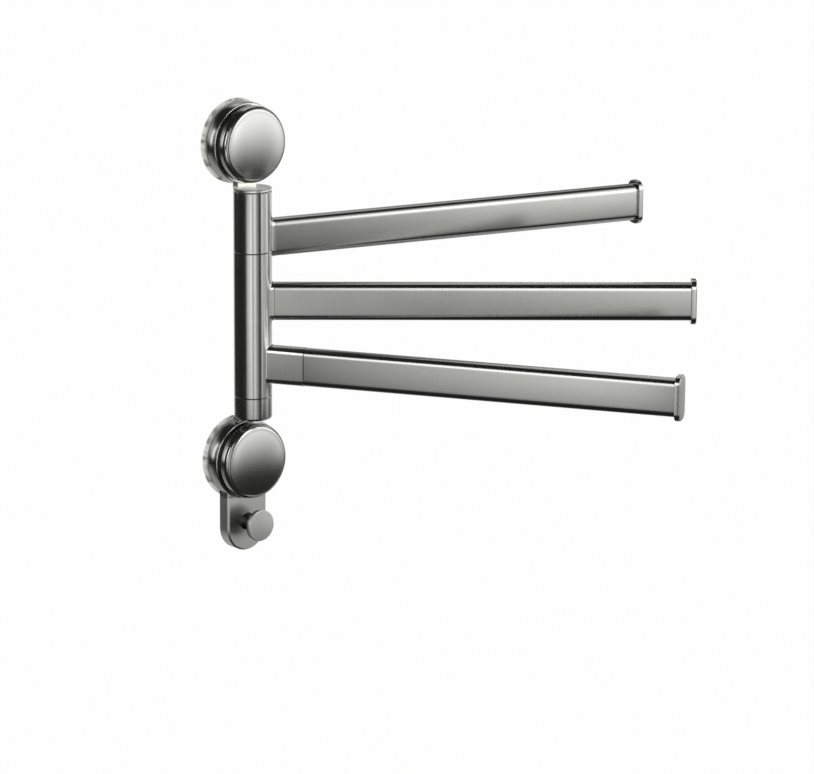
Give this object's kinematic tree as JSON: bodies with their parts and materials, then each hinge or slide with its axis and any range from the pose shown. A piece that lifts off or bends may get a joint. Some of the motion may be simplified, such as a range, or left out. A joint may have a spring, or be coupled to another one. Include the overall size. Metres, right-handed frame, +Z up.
{
  "type": "swing arm towel bar",
  "caption": "Wall towel bar: flat tube arms that swing on a round post held by twist-lock suction mounts, with a knob hook below.",
  "frame": {"origin": "centre of the lower suction pad's wall face", "axes": "+Z up along the post, +Y into the wall, +X along the wall towards the side the arms are stored on"},
  "size_m": [0.3466, 0.2981, 0.3355],
  "materials": {
    "satin_metal": "satin grey metal, finely brushed",
    "plain_steel": "plain machined steel",
    "clear_rubber": "translucent soft rubber",
    "dark_plastic": "dark moulded plastic",
    "white_plastic": "white low-friction plastic",
    "spring_steel": "rolled spring steel"
  },
  "bodies": {
    "frame": {"lower_bracket": "satin_metal", "upper_bracket": "satin_metal", "lower_pad": "clear_rubber", "upper_pad": "clear_rubber", "lower_slip_ring": "white_plastic", "upper_slip_ring": "white_plastic", "spindle": "plain_steel", "spring_washer": "spring_steel", "collar_grub_screw": "plain_steel", "collar_seam_washer": "dark_plastic", "low_seam_washer": "dark_plastic", "mid_seam_washer": "dark_plastic", "ear_seam_washer": "dark_plastic", "hook_knob": "satin_metal", "hook_screw": "plain_steel"},
    "low_arm": {"low_arm_sleeve": "satin_metal", "low_arm_tube": "satin_metal", "low_arm_end_cap": "satin_metal", "low_arm_lower_bush": "white_plastic", "low_arm_upper_bush": "white_plastic", "low_arm_grub_screw": "plain_steel"},
    "mid_arm": {"mid_arm_sleeve": "satin_metal", "mid_arm_tube": "satin_metal", "mid_arm_end_cap": "satin_metal", "mid_arm_lower_bush": "white_plastic", "mid_arm_upper_bush": "white_plastic", "mid_arm_grub_screw": "plain_steel"},
    "top_arm": {"top_arm_sleeve": "satin_metal", "top_arm_tube": "satin_metal", "top_arm_end_cap": "satin_metal", "top_arm_lower_bush": "white_plastic", "top_arm_upper_bush": "white_plastic", "top_arm_grub_screw": "plain_steel"},
    "lower_cap": {"lower_cap_core": "dark_plastic", "lower_cap_shell": "satin_metal"},
    "lower_stud_body": {"lower_stud": "plain_steel"},
    "upper_cap": {"upper_cap_core": "dark_plastic", "upper_cap_shell": "satin_metal"},
    "upper_stud_body": {"upper_stud": "plain_steel"}
  },
  "joints": [
    {"name": "low_arm_swing", "type": "hinge", "parent": "frame", "child": "low_arm", "pos_m": [0, -0.0205, 0.0738], "axis": [0, 0, -1], "range_deg": [-58.1, 121.9]},
    {"name": "mid_arm_swing", "type": "hinge", "parent": "frame", "child": "mid_arm", "pos_m": [0, -0.0205, 0.11985], "axis": [0, 0, -1], "range_deg": [-38.9, 141.1]},
    {"name": "top_arm_swing", "type": "hinge", "parent": "frame", "child": "top_arm", "pos_m": [0, -0.0205, 0.1659], "axis": [0, 0, -1], "range_deg": [-12.9, 167.1]},
    {"name": "lower_cap_turn", "type": "hinge", "parent": "frame", "child": "lower_cap", "pos_m": [0, -0.02, 0], "axis": [0, -1, 0], "range_deg": [0, 270]},
    {"name": "lower_stud_slide", "type": "slide", "parent": "frame", "child": "lower_stud_body", "axis": [0, 1, 0], "range_m": [0, 0.00112], "deforming": ["lower_pad"]},
    {"name": "upper_cap_turn", "type": "hinge", "parent": "frame", "child": "upper_cap", "pos_m": [0, -0.02, 0.235], "axis": [0, -1, 0], "range_deg": [0, 270]},
    {"name": "upper_stud_slide", "type": "slide", "parent": "frame", "child": "upper_stud_body", "axis": [0, 1, 0], "range_m": [0, 0.00112], "deforming": ["upper_pad"]}
  ],
  "couplings": [
    {"joint": "lower_stud_slide", "follows": "lower_cap_turn", "m_per_rad": 0.0002387},
    {"joint": "upper_stud_slide", "follows": "upper_cap_turn", "m_per_rad": 0.0002387}
  ]
}
